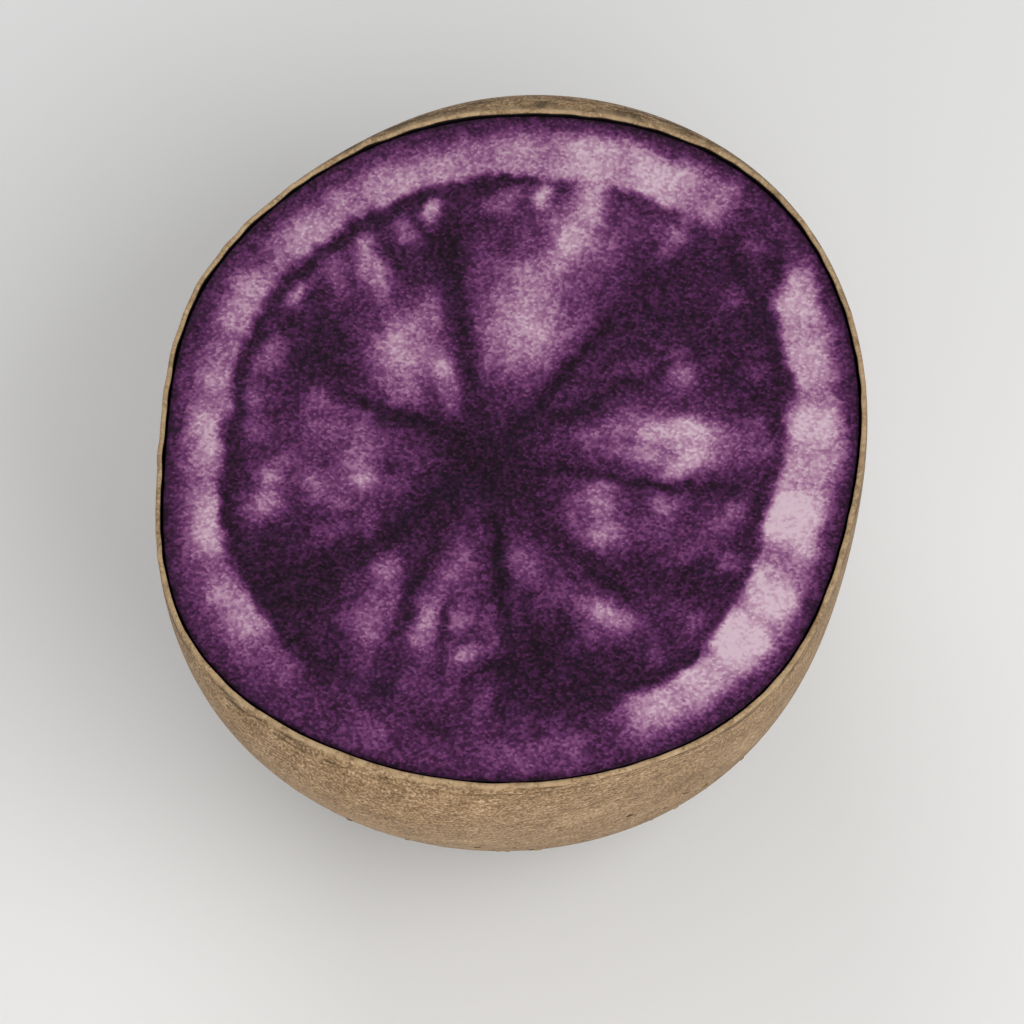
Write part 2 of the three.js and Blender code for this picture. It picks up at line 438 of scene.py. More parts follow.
# Blotches of the flesh inside the ring, painted one over another: [x, y, long, wide, turn, paleness]
heart = (-1.9, -1.0)  # where the dark rays meet
blotches = [
    # broad tones
    (-13.5, -0.5, 7.0, 5.0, 10, 0.38), (-9.5, 9.0, 4.6, 5.6, 60, 0.36), (2.0, 11.5, 8.5, 5.0, 72, 0.50),
    (10.5, -6.0, 7.5, 4.0, -12, 0.33), (9.5, 1.4, 7.0, 3.0, 0, 0.38), (-17.5, 5.0, 5.0, 2.8, 100, 0.32),
    (3.8, -11.5, 6.0, 2.4, -40, 0.33), (11.5, -14.5, 5.0, 3.0, -50, 0.29),
    (12.0, 5.8, 4.5, 2.4, 10, 0.32), (-10.0, -12.0, 6.0, 3.2, 75, 0.36),
    (-4.4, -13.0, 6.5, 2.9, 85, 0.37), (0.0, 19.5, 2.4, 4.0, 0, 0.36), (-11.5, 15.0, 3.2, 2.6, 110, 0.36),
    (-10.5, -21.5, 5.0, 2.4, -25, 0.33), (1.0, -23.0, 6.0, 1.6, 5, 0.34),
    (11.5, 18.0, 4.0, 1.8, -20, 0.43), (17.8, -0.4, 3.6, 1.8, 0, 0.43), (6.2, 14.6, 5.5, 2.2, 74, 0.44),
    # dark sectors
    (13.0, 11.6, 6.4, 4.0, 42, 0.23), (17.5, 7.5, 3.0, 2.6, 0, 0.22), (-5.0, 15.8, 4.2, 2.0, 100, 0.16),
    (-14.4, 8.6, 4.4, 2.6, 140, 0.19), (-15.5, -10.8, 4.6, 2.8, 48, 0.15),
    (-13.2, -17.0, 2.6, 2.0, 40, 0.18), (2.6, -18.4, 4.4, 3.8, 0, 0.18),
    (13.0, -10.8, 4.2, 1.6, -20, 0.18), (-1.9, -1.0, 4.6, 3.8, 30, 0.15),
    (-8.6, -18.8, 2.6, 1.4, 20, 0.20),
    # the patches above the heart
    (1.0, 10.2, 3.9, 3.1, 78, 0.76), (1.6, 13.0, 2.4, 2.0, 60, 0.72), (3.2, 15.2, 1.7, 1.6, 60, 0.62),
    (4.2, 17.3, 2.2, 1.9, 70, 0.84), (6.3, 21.2, 1.4, 1.2, 60, 0.66), (5.6, 19.5, 2.5, 1.6, 66, 0.80),
    (6.5, 15.6, 2.4, 0.9, 70, 0.54), (-1.9, 15.0, 2.4, 1.3, 95, 0.48), (1.3, 17.2, 1.6, 1.1, 80, 0.44),
    (4.9, 11.2, 2.0, 0.9, 90, 0.50), (-7.8, 7.9, 3.3, 2.4, 84, 0.80), (-6.3, 10.6, 2.6, 1.1, 74, 0.62),
    (-8.2, 5.2, 1.8, 1.3, 150, 0.62), (-5.0, 6.0, 2.0, 1.0, 104, 0.72), (-4.6, 4.2, 1.2, 0.9, 120, 0.56),
    # small ones, from the top to the left
    (2.5, 20.9, 1.2, 0.7, 90, 0.82), (-0.1, 20.3, 1.2, 1.0, 80, 0.58), (-1.5, 20.0, 0.9, 0.7, 0, 0.54),
    (-5.8, 19.5, 1.3, 0.8, 92, 0.74), (-8.0, 17.8, 1.5, 0.9, 112, 0.60),
    (-10.9, 16.2, 1.8, 0.9, 112, 0.72), (-9.8, 14.1, 2.0, 0.9, 106, 0.70),
    (-12.6, 14.2, 1.9, 0.9, 100, 0.56), (-15.7, 12.6, 1.4, 0.75, 62, 0.70),
    (-14.5, 14.8, 1.0, 0.7, 60, 0.48), (-17.9, 7.6, 1.7, 1.2, 60, 0.58), (-19.2, 3.9, 1.4, 1.0, 90, 0.56),
    (-18.8, 1.4, 1.6, 1.0, 80, 0.50),
    # the left side
    (-14.0, 3.3, 1.8, 1.2, 110, 0.51), (-13.8, 1.2, 1.9, 1.6, 60, 0.49),
    (-11.0, 1.2, 2.6, 1.4, 112, 0.53), (-11.3, -0.7, 1.4, 1.0, 60, 0.61),
    (-10.9, -3.0, 1.6, 1.2, -10, 0.75), (-14.1, -3.1, 1.6, 1.3, 10, 0.61),
    (-17.9, -2.8, 1.1, 1.2, 0, 0.69), (-18.3, -4.8, 1.7, 1.3, 40, 0.69),
    (-16.9, -1.2, 1.4, 0.8, 30, 0.53), (-12.6, -4.6, 2.0, 0.8, 0, 0.47), (-8.7, -3.3, 1.4, 1.0, 20, 0.45),
    (-7.6, -1.2, 1.8, 1.3, 0, 0.39), (-13.2, -6.9, 2.6, 1.0, 22, 0.41),
    # below the heart
    (-9.6, -9.1, 2.6, 1.15, 104, 0.63), (-11.5, -10.6, 1.6, 0.8, 70, 0.41),
    (-10.3, -14.3, 2.8, 1.7, 76, 0.60), (-8.8, -12.9, 1.2, 0.8, 70, 0.53),
    (-6.2, -14.6, 2.8, 1.1, 80, 0.67), (-7.3, -18.8, 1.9, 0.9, 75, 0.45),
    (-4.0, -9.8, 2.3, 1.3, 68, 0.56), (-3.7, -14.2, 1.2, 1.0, 70, 0.65),
    (-3.0, -17.0, 1.8, 0.9, 22, 0.65), (-1.5, -15.4, 1.8, 0.7, 100, 0.45),
    (-2.2, -20.9, 1.5, 0.8, 75, 0.47), (-5.2, -20.3, 1.4, 1.0, 0, 0.39), (1.1, -9.4, 1.9, 1.0, -62, 0.53),
    (3.4, -12.0, 2.0, 0.9, -35, 0.46), (7.0, -13.6, 1.8, 1.4, -20, 0.79), (9.2, -13.4, 1.2, 1.0, 0, 0.51),
    (6.1, -15.4, 1.4, 0.8, 0, 0.47),
    # the right side
    (12.0, 1.1, 4.3, 1.7, -6, 0.86), (12.8, -1.2, 2.2, 1.4, 30, 0.84), (9.9, -0.6, 1.8, 1.3, 0, 0.64),
    (7.0, 0.8, 2.6, 1.2, 6, 0.55), (12.6, 6.2, 1.9, 1.2, 102, 0.63), (10.0, 6.6, 1.6, 1.0, 0, 0.39),
    (18.8, 0.9, 1.6, 1.2, -20, 0.49), (6.5, -4.4, 1.8, 1.4, 90, 0.69), (6.9, -7.0, 1.8, 1.4, 10, 0.69),
    (4.8, -4.8, 1.4, 0.8, 80, 0.51), (11.0, -5.0, 1.5, 0.9, 132, 0.61), (10.6, -7.2, 1.4, 0.9, 90, 0.43),
    (12.2, -8.6, 1.8, 1.1, 30, 0.41), (16.6, -5.0, 1.1, 0.9, 60, 0.57), (15.0, -6.4, 1.3, 1.1, 60, 0.48),
    (16.2, -9.6, 1.5, 0.9, 20, 0.47), (13.5, -14.2, 1.2, 1.0, 60, 0.47),
    (11.0, -17.0, 1.3, 0.8, 130, 0.46), (12.6, 18.0, 1.8, 0.8, 66, 0.71),
    (11.5, 16.4, 1.4, 0.8, 60, 0.49), (8.7, 19.2, 1.0, 0.9, 0, 0.47), (15.1, 18.3, 1.0, 0.7, 60, 0.47),
    (18.6, 16.4, 1.1, 0.8, 120, 0.55), (16.6, 12.5, 1.0, 0.9, 0, 0.43), (18.2, 6.2, 1.3, 0.9, 0, 0.35),
    # thin dark rays
    (3.6, 5.4, 8.0, 0.6, 54, 0.11), (-3.3, 8.4, 6.5, 0.7, 98, 0.16), (-8.0, 2.4, 7.0, 0.6, 156, 0.13),
    (-7.6, -6.2, 7.0, 0.9, 40, 0.14), (-0.7, -9.5, 8.0, 0.6, -86, 0.12), (5.0, -8.6, 8.0, 0.6, -46, 0.17),
    (-6.8, -10.0, 5.0, 0.7, 74, 0.17), (6.8, 4.2, 7.0, 0.6, 27, 0.18), (9.4, -2.9, 5.5, 0.6, -8, 0.18),
    (-5.0, -15.0, 2.6, 0.4, 82, 0.26),
]
marbling = {
    "flesh": 0.23, "softness": 2.4,  # tone between the blotches, and how sudden their edges are
    # size, reach and seed of each noise that bends the pattern
    "warps": [(2.6, 0.45, 2), (0.9, 0.3, 5)], "seedPerAxis": 10,
    "cortex": (0.26, 0.44), "cortexDepth": (0.5, 2.8), "cortexSoft": 0.6,
    "beadEnds": 2.9, "outerSoft": 1.1, "innerSoft": 0.58, "contrast": 1.13, "pivot": 0.2,
    "patches": 0.06, "patchSize": 1.3, "patchSeed": 12,
    "fibres": 0.06, "fibreLength": 23.3333, "fibreWidth": 0.075, "fibreSeed": 8,
    "edgeDark": 0.14, "edgeDepth": 0.5,
}


# How pale the flesh is at points of the cut, from 0, nearly black, to 1, lilac
def paleness(points):
    flat = points * [1, 1, 0]
    warped = flat.copy()
    for size, reach, seed in marbling["warps"]:
        for axis in range(2):
            warped[:, axis] += reach * noiseAt(flat, size, seed + marbling["seedPerAxis"] * axis)
    tone = np.full(len(points), marbling["flesh"])
    for x, y, long, wide, turn, strength in blotches:
        dx, dy, angle = warped[:, 0] - x, warped[:, 1] - y, math.radians(turn)
        u, v = dx * math.cos(angle) + dy * math.sin(angle), dy * math.cos(angle) - dx * math.sin(angle)
        weight = np.exp(-((u / long) ** 2 + (v / wide) ** 2) ** (marbling["softness"] / 2))
        tone = tone + (strength - tone) * weight

    # fine fibres run out from the heart
    azimuth = np.arctan2(flat[:, 1] - heart[1], flat[:, 0] - heart[0])
    away = np.hypot(flat[:, 0] - heart[0], flat[:, 1] - heart[1])
    spokes = np.stack([np.cos(azimuth), np.sin(azimuth), away / marbling["fibreLength"]], axis=-1)
    tone = tone + marbling["fibres"] * noiseAt(spokes, marbling["fibreWidth"], marbling["fibreSeed"])

    # the purple cortex under the skin, and the ring of vessels
    azimuth = np.arctan2(warped[:, 1], warped[:, 0])
    depth = outlineRadius(azimuth) - np.hypot(warped[:, 0], warped[:, 1])
    shallow, deep = marbling["cortexDepth"]
    cortex = np.interp(depth, (shallow, deep), marbling["cortex"])
    soft = marbling["cortexSoft"]
    tone = tone + (cortex - tone) * (1 - smoothRise(depth, deep - soft, deep + soft))
    outer, inner, ends = marbling["outerSoft"], marbling["innerSoft"], marbling["beadEnds"]
    for start, end, top, bottom, strength in ringParts:
        off = np.abs((np.degrees(azimuth) - (start + end) / 2 + 180) % 360 - 180)
        along = 1 - smoothRise(off, (end - start) / 2 - ends, (end - start) / 2 + ends)
        across = smoothRise(depth, top - outer, top + outer)
        across = across * (1 - smoothRise(depth, bottom - inner, bottom + inner))
        tone = tone + (strength - tone) * along * across
    tone = tone + marbling["patches"] * noiseAt(flat, marbling["patchSize"], marbling["patchSeed"])
    trueDepth = outlineRadius(np.arctan2(flat[:, 1], flat[:, 0])) - np.hypot(flat[:, 0], flat[:, 1])
    atEdge = 1 - smoothRise(trueDepth - skin["thickness"] - flesh["groove"], 0.0, marbling["edgeDepth"])
    tone = marbling["pivot"] + (tone - marbling["pivot"]) * marbling["contrast"]
    return tone - marbling["edgeDark"] * atEdge


def makeFleshMesh():
    rings = Rings("paleness", "edge")
    inset = skin["thickness"] + flesh["groove"]
    width = flesh["filletWidth"]
    grooveFloor = skin["edge"][0][1]
    side = []
    for angle in flesh["filletAngles"]:
        bend = math.radians(angle)
        side.append((inset + width * (1 - math.cos(bend)), flesh["sunk"] + width * (1 - math.sin(bend))))
    side.append((inset, grooveFloor))

    def uneven(points, tone):
        height = flesh["waviness"] * noiseAt(points, flesh["waveSize"], flesh["seed"])
        height += flesh["ripple"] * noiseAt(points, flesh["rippleSize"], flesh["seed"] + 1)
        return height + flesh["toneHeight"] * (tone - flesh["levelTone"])

    # the rounded edge and the groove's wall, which get the groove colour as painted shade
    last, top = None, None
    for place in side:
        points = cutRing(flesh["around"], *place)
        tone = paleness(points)
        share = 1 - (place[1] - flesh["sunk"]) / grooveFloor
        points[:, 2] += share * uneven(points * [1, 1, 0], tone)
        edge = smoothRise(place[1], flesh["sunk"], flesh["sunk"] + width)
        ring = rings.add(points, paleness=tone, edge=edge)
        if last:
            rings.join(last, ring)
        top = top or ring
        last = ring
    # the hidden wall is all in painted shade
    addHiddenWall(rings, last, inset, False, edge=1.0)

    # the cut face, from its edge in to the middle
    last = top
    for row in range(1, flesh["rows"]):
        share = 1 - row / flesh["rows"]
        count = nextCount(last[1], body["cutRadius"] * share, flesh["cell"], flesh["fewest"])
        points = cutRing(count, side[0][0], flesh["sunk"]) * [share, share, 1]
        tone = paleness(points)
        points[:, 2] += uneven(points * [1, 1, 0], tone)
        ring = rings.add(points, paleness=tone)
        rings.join(last, ring, True)
        last = ring
    centre = np.array([[0.0, 0.0, body["cutHeight"] - flesh["sunk"]]])
    rings.join(last, rings.add(centre, paleness=paleness(centre)), True)
    return rings.mesh("potatoFlesh")


# A colour in sRGB, from 0 to 255, as Blender holds it
def tint(red, green, blue):
    def linear(part):
        share = part / 255
        return share / 12.92 if share <= 0.04045 else ((share + 0.055) / 1.055) ** 2.4
    return (linear(red), linear(green), linear(blue), 1.0)


# A socket of a node tree. Sums on it are written as in Python, and node() adds any other node.
class Wire:
    def __init__(self, tree, socket=None):
        self.tree, self.socket = tree, socket

    def node(self, kind, settings=None, inputs=None, output=0):
        made = self.tree.nodes.new(kind)
        for name, value in (settings or {}).items():
            if name == "stops":
                self.setStops(made.color_ramp.elements, value)
            else:
                setattr(made, name, value)
        for name, value in (inputs or {}).items():
            if isinstance(value, Wire):
                self.tree.links.new(value.socket, made.inputs[name])
            else:
                made.inputs[name].default_value = value
        return Wire(self.tree, made.outputs[output] if made.outputs else None)

    def setStops(self, elements, stops):
        while len(elements) < len(stops):
            elements.new(1.0)
        for element, (place, colour) in zip(elements, stops):
            element.position = place
            element.color = colour

    def math(self, operation, *values):
        return self.node("ShaderNodeMath", {"operation": operation}, dict(enumerate(values)))

    def vector(self, operation, *values):
        return self.node("ShaderNodeVectorMath", {"operation": operation}, dict(enumerate(values)))

    def __add__(self, other):
        return self.math("ADD", self, other)

    __radd__ = __add__

    def __sub__(self, other):
        return self.math("SUBTRACT", self, other)

    def __rsub__(self, other):
        return self.math("SUBTRACT", other, self)

    def __mul__(self, other):
        return self.math("MULTIPLY", self, other)

    __rmul__ = __mul__

    def __truediv__(self, other):
        return self.math("DIVIDE", self, other)

    def __rtruediv__(self, other):
        return self.math("DIVIDE", other, self)

    # Another output of the same node
    def also(self, output):
        return Wire(self.tree, self.socket.node.outputs[output])

    # The X, Y or Z of a vector
    def part(self, axis):
        return self.node("ShaderNodeSeparateXYZ", {}, {"Vector": self}, axis)

    # 0 below low, 1 above high and smooth between them
    def rise(self, low, high):
        limits = {"Value": self, "From Min": low, "From Max": high}
        return self.node("ShaderNodeMapRange", {"interpolation_type": "SMOOTHSTEP"}, limits)

    # Smooth noise from 0 to 1, about 0.5
    def noise(self, place, size, detail=2.0, roughness=0.5):
        return self.node("ShaderNodeTexNoise", {}, {
            "Vector": place, "Scale": 1 / size, "Detail": detail, "Roughness": roughness})

    # Rounded cells in the plane of the cut, each with its own number from 0 to 1, that run into one another
    def cells(self, place, size):
        settings = {"voronoi_dimensions": "2D", "feature": "SMOOTH_F1"}
        inputs = {"Vector": place, "Scale": 1 / size, "Smoothness": 1.0}
        colours = self.node("ShaderNodeTexVoronoi", settings, inputs, "Color")
        return self.node("ShaderNodeSeparateColor", {}, {"Color": colours}, "Red")

    # A mix of two colours. The share of the second is a wire or a number.
    def blend(self, share, one, other):
        return self.node("ShaderNodeMix", {"data_type": "RGBA"}, {0: share, 6: one, 7: other}, 2)

    # This colour with a share of a plain one over it
    def covered(self, share, colour):
        return self.blend(share, self, tint(*colour))

    def ramp(self, value, stops):
        colours = [(stop, tint(*colour)) for stop, colour in stops]
        return self.node("ShaderNodeValToRGB", {"stops": colours}, {"Fac": value})

    def bump(self, height, look):
        return self.node("ShaderNodeBump", {}, {
            "Height": height, "Strength": look["bumpStrength"], "Distance": look["bumpHeight"] * mm})


def newMaterial(name):
    made = bpy.data.materials.new(name)
    made.use_nodes = True
    made.node_tree.nodes.clear()
    return made, Wire(made.node_tree)


# The surface's shader. Its inputs are wires where they change over the surface, or else numbers.
def finish(wire, colour, roughness, specular, normal=None):
    inputs = {"Base Color": colour, "Roughness": roughness, "Specular IOR Level": specular}
    if normal:
        inputs["Normal"] = normal
    shader = wire.node("ShaderNodeBsdfPrincipled", {}, inputs)
    wire.node("ShaderNodeOutputMaterial", {}, {"Surface": shader})


# The place on the piece in millimetres, from the middle of the cut at floor height
def placeInMm(wire):
    place = wire.node("ShaderNodeTexCoord", output="Object")
    return wire.node("ShaderNodeMapping", {}, {
        "Vector": place, "Scale": (1 / mm, 1 / mm, 1 / mm), "Location": tuple(-middle / mm)})


def attribute(wire, name):
    return wire.node("ShaderNodeAttribute", {"attribute_name": name}, output="Fac")


fleshLook = {
    "tones": [
        (0.0, (20, 2, 18)), (0.14, (37, 9, 34)), (0.27, (59, 21, 56)), (0.4, (85, 37, 82)),
        (0.54, (114, 60, 107)), (0.68, (146, 94, 134)), (0.84, (182, 140, 165)), (1.0, (212, 183, 196)),
    ],
    "cellSize": 0.2, "cells": 0.36, "cellsFade": 0.13,  # cells show less where the flesh is pale
    # size, detail and roughness of each noise
    "grain": (0.4, 0.0), "clump": (0.8, 2.0, 0.55), "cloud": (4.0, 2.0), "blueCloud": (2.6, 2.0),
    "clumpShare": 0.05, "cloudShare": 0.06,
    # groove: a near-black painted shade for the flesh down in the groove beside the skin
    "blue": (70, 44, 92), "blueFrom": (0.45, 0.75), "blueShare": 0.06, "groove": (14, 6, 12),
    "roughness": 0.5, "grainRoughness": 0.25, "specular": 0.12,
    "grainHeight": 1.6, "clumpHeight": 0.8, "bumpHeight": 0.06, "bumpStrength": 0.35,
}


def makeFleshMaterial():
    made, wire = newMaterial("cutFlesh")
    look = fleshLook
    place = placeInMm(wire)
    cells = wire.cells(place, look["cellSize"]) - 0.5
    grain, clump, cloud = (wire.noise(place, *look[name]) - 0.5 for name in ("grain", "clump", "cloud"))
    pale = attribute(wire, "paleness") + cloud * look["cloudShare"]
    strength = look["cells"] - pale * look["cellsFade"]
    colour = wire.ramp(pale + cells * strength + clump * look["clumpShare"], look["tones"])
    bluer = wire.noise(place, *look["blueCloud"]).rise(*look["blueFrom"]) * look["blueShare"]
    # painted shade: the edge attribute lays the near-black groove colour over the flesh's rounded edge,
    # groove wall and hidden wall
    colour = colour.covered(bluer, look["blue"]).covered(attribute(wire, "edge"), look["groove"])
    bump = wire.bump(grain * look["grainHeight"] + clump * look["clumpHeight"], look)
    finish(wire, colour, look["roughness"] + grain * look["grainRoughness"], look["specular"], bump)
    return made


skinLook = {
    "tan": [
        (0.2, (96, 74, 48)), (0.4, (134, 106, 74)), (0.52, (156, 126, 92)), (0.66, (178, 149, 114)),
        (0.85, (206, 180, 146)),
    ],
    "earth": [(0.2, (56, 42, 28)), (0.42, (90, 71, 48)), (0.58, (119, 97, 69)), (0.8, (154, 130, 98))],
    "earthFrom": (15, 27), "earthPatchy": 28, "nearRim": (1.0, 6.0),
    # size, detail and roughness of each noise
    "grain": (0.22, 1.0, 0.6), "mottle": (2.2, 4.0, 0.62), "cloud": (6.0, 2.0), "netBend": (1.5, 2.0),
    "speckSpots": (0.8, 1.0), "scabSpots": (3.4, 3.0, 0.7), "frayed": (1.1, 3.0, 0.6),
    # length, height and detail of each kind of streak
    "streaks": (2.2, 0.34, 3.0), "fineStreaks": (0.6, 0.16, 2.0), "crackStreaks": (3.4, 0.55, 3.0),
    "streakRoughness": 0.6,
    # how much of each noise is in the tones
    "tanMiddle": 0.48, "tanStreak": 0.33, "tanStreakNearRim": 0.2, "tanFine": 0.55, "tanGrain": 1.1,
    "tanMottle": 0.3, "tanCloud": 0.35, "earthMottle": 0.62, "earthGrain": 0.28, "earthStreak": 0.1,
    # colours over the tones, where they start and how much they cover
    "speck": (48, 37, 26), "speckFrom": (0.66, 0.74), "speckShare": 0.35, "speckMoreBelow": 0.5,
    "netSize": 1.7, "netWidth": 0.09, "netFrom": (0.3, 0.6), "netShare": 0.6,
    "scab": (172, 132, 90), "scabFrom": (0.66, 0.72), "scabShare": 0.8,
    # crack: dark brown of the line under the rim, partly real cracks and partly painted shade under the
    # rim's lip
    "crackShade": (52, 36, 20), "crackTop": (0.125, 0.25), "crackEnd": (0.84, 1.2),
    "crackFrom": (0.46, 0.64), "crackShare": 0.7,
    # eye: the brown of the painted shade in the eyes' hollows and folds
    # inner: a near-black painted shade for the skin's walls down in the groove and inside
    "eye": (52, 37, 25), "eyeShadeFrom": (0.15, 0.9), "eyeShadeShare": 0.85, "inner": (16, 8, 10),
    "cutEdge": (186, 158, 120), "cutEdgeFrom": (0.36, 0.62), "cutEdgeShare": 0.55, "cutEdgeLeast": 0.2,
    "roughness": 0.72, "grainRoughness": 0.3, "specular": 0.3,
    "grainHeight": 0.35, "crackDepth": 0.8, "netDepth": 0.7, "bumpHeight": 0.06, "bumpStrength": 0.5,
}


def makeSkinMaterial():
    made, wire = newMaterial("potatoSkin")
    look = skinLook
    place = placeInMm(wire)
    outward = wire.vector("NORMALIZE", wire.vector("MULTIPLY", place, (1, 1, 0)))
    height = place.part("Z")
    depth = body["cutHeight"] - height

    # streaks run round the body: long along the rim and short down it
    def streaks(long, tall, detail):
        lifted = wire.node("ShaderNodeCombineXYZ", {}, {"Z": height / tall})
        scale = body["cutRadius"] / long
        turned = wire.vector("MULTIPLY", outward, (scale, scale, scale))
        return wire.noise(wire.vector("ADD", turned, lifted), 1.0, detail, look["streakRoughness"])

    streak = streaks(*look["streaks"])
    fine = streaks(*look["fineStreaks"])
    grain, mottle, cloud = (wire.noise(place, *look[name]) for name in ("grain", "mottle", "cloud"))

    # light tan under the rim, and earthy lower down
    nearRim = 1 - depth.rise(*look["nearRim"])
    tanTone = look["tanMiddle"] + (streak - 0.5) * (look["tanStreak"] + nearRim * look["tanStreakNearRim"])
    tanTone = tanTone + (fine - 0.5) * look["tanFine"] + (grain - 0.5) * look["tanGrain"]
    tanTone = tanTone + (mottle - 0.5) * look["tanMottle"] + (cloud - 0.5) * look["tanCloud"] * (1 - nearRim)
    earthTone = mottle * look["earthMottle"] + grain * look["earthGrain"] + streak * look["earthStreak"]
    lower = (depth + (cloud - 0.5) * look["earthPatchy"]).rise(*look["earthFrom"])
    colour = wire.blend(lower, wire.ramp(tanTone, look["tan"]), wire.ramp(earthTone, look["earth"]))

    # a net of fine cracks where the skin is earthy
    bent = wire.vector("ADD", place, wire.noise(place, *look["netBend"]).also("Color"))
    fromCrack = wire.node("ShaderNodeTexVoronoi", {"feature": "DISTANCE_TO_EDGE"}, {
        "Vector": bent, "Scale": 1 / look["netSize"]}, "Distance")
    net = (1 - fromCrack.rise(0.0, look["netWidth"])) * lower * cloud.rise(*look["netFrom"])
    colour = colour.covered(net * look["netShare"], look["speck"])

    specks = wire.noise(place, *look["speckSpots"]).rise(*look["speckFrom"])
    colour = colour.covered(specks * (look["speckShare"] + lower * look["speckMoreBelow"]), look["speck"])
    scabs = wire.noise(place, *look["scabSpots"]).rise(*look["scabFrom"]) * lower
    colour = colour.covered(scabs * look["scabShare"], look["scab"])

    # under the rim: a dark broken line, partly real cracks in the skin and partly painted shade below the
    # proud rim; the bump gives the cracks their relief
    underRim = depth.rise(*look["crackTop"]) * (1 - depth.rise(*look["crackEnd"]))
    cracksAndShade = underRim * streaks(*look["crackStreaks"]).rise(*look["crackFrom"])
    colour = colour.covered(cracksAndShade * look["crackShare"], look["crackShade"])
    # painted shade: the eyes' hollows and the fold under each brow are darkened with the eye colour
    colour = colour.covered(attribute(wire, "eye").rise(*look["eyeShadeFrom"]) * look["eyeShadeShare"], look["eye"])
    frayed = wire.noise(place, *look["frayed"]).rise(*look["cutEdgeFrom"]) * look["cutEdgeShare"]
    colour = colour.covered(attribute(wire, "cutEdge") * (frayed + look["cutEdgeLeast"]), look["cutEdge"])
    # painted shade: the inner colour darkens the skin's walls in the groove and its hidden inside
    colour = colour.covered(attribute(wire, "inner"), look["inner"])

    relief = streak * (1 - lower) + mottle * lower + grain * look["grainHeight"]
    bump = wire.bump(relief - cracksAndShade * look["crackDepth"] - net * look["netDepth"], look)
    finish(wire, colour, look["roughness"] + (grain - 0.5) * look["grainRoughness"], look["specular"], bump)
    return made


# Lenticels: small corky dots, scattered over the skin by geometry nodes
lenticels = {
    "perSquareMm": 0.32, "spacing": 1.1, "seed": 11, "clusters": 9, "clusterFrom": (0.3, 0.7),
    "denseBelow": 14, "noneAbove": 28, "clearFrom": 0.8,
    "radius": 0.25, "shape": (1.35, 0.85, 0.34), "smallest": 0.45, "sides": 10, "rows": 6,
    "cork": (176, 140, 96), "rind": (78, 58, 39), "corkFrom": (12, 22), "mixing": (3.0, 2.0), "mixed": 30,
    "grain": (0.12, 2.0, 0.6), "grainFrom": 0.35, "grainShare": 0.8,
    "roughness": 0.82, "grainRoughness": 0.2, "specular": 0.25, "bumpHeight": 0.04, "bumpStrength": 0.5,
}


def makeLenticelMaterial():
    made, wire = newMaterial("lenticelCork")
    look = lenticels
    place = placeInMm(wire)
    depth = body["cutHeight"] - place.part("Z") + (wire.noise(place, *look["mixing"]) - 0.5) * look["mixed"]
    grain = wire.noise(place, *look["grain"])
    colour = wire.blend(depth.rise(*look["corkFrom"]), tint(*look["rind"]), tint(*look["cork"]))
    colour = colour.covered((grain - look["grainFrom"]) * look["grainShare"], skinLook["speck"])
    roughness = look["roughness"] + (grain - 0.5) * look["grainRoughness"]
    finish(wire, colour, roughness, look["specular"], wire.bump(grain, look))
    return made


def makeLenticelTree():
    tree = bpy.data.node_groups.new("lenticels", "GeometryNodeTree")
    kinds = {
        "Skin": "Geometry", "Density": "Float", "Spacing": "Float", "Seed": "Int", "Cluster Size": "Float",
        "Dense Below": "Float", "None Above": "Float", "Radius": "Float", "Shape": "Vector",
        "Smallest": "Float", "Material": "Material",
    }
    for name, kind in kinds.items():
        tree.interface.new_socket(name, in_out="INPUT", socket_type="NodeSocket" + kind)
    tree.interface.new_socket("Lenticels", in_out="OUTPUT", socket_type="NodeSocketGeometry")
    wire = Wire(tree)
    sizes = wire.node("NodeGroupInput")
    given = {name: sizes.also(name) for name in kinds}

    # none near the rim, in an eye or where the half rests
    clear, eye = (
        wire.node("GeometryNodeInputNamedAttribute", {"data_type": "FLOAT"}, {"Name": name}, "Attribute")
        for name in ("clear", "eye"))
    position = wire.node("GeometryNodeInputPosition")
    cluster = wire.node("ShaderNodeTexNoise", {}, {"Vector": position, "Scale": 1 / given["Cluster Size"]})
    lower = 1 - position.part("Z").rise(given["Dense Below"], given["None Above"])
    points = wire.node("GeometryNodeDistributePointsOnFaces", {"distribute_method": "POISSON"}, {
        "Mesh": given["Skin"], "Selection": wire.math("GREATER_THAN", clear - eye, lenticels["clearFrom"]),
        "Distance Min": given["Spacing"], "Density Max": given["Density"],
        "Density Factor": cluster.rise(*lenticels["clusterFrom"]) * lower, "Seed": given["Seed"]}, "Points")
    ball = wire.node("GeometryNodeMeshUVSphere", {}, {
        "Segments": lenticels["sides"], "Rings": lenticels["rows"], "Radius": given["Radius"]})
    chance = wire.node("FunctionNodeRandomValue", {"data_type": "FLOAT"}, {
        2: given["Smallest"], 3: 1.0, "Seed": given["Seed"]}, 1)
    size = wire.node("ShaderNodeVectorMath", {"operation": "SCALE"}, {0: given["Shape"], "Scale": chance})
    dots = wire.node("GeometryNodeInstanceOnPoints", {}, {
        "Points": points, "Instance": ball, "Rotation": points.also("Rotation"), "Scale": size})
    dots = wire.node("GeometryNodeRealizeInstances", {}, {"Geometry": dots})
    dots = wire.node("GeometryNodeSetShadeSmooth", {}, {"Geometry": dots})
    dots = wire.node("GeometryNodeSetMaterial", {}, {"Geometry": dots, "Material": given["Material"]})
    wire.node("NodeGroupOutput", {}, {"Lenticels": dots})
    return tree


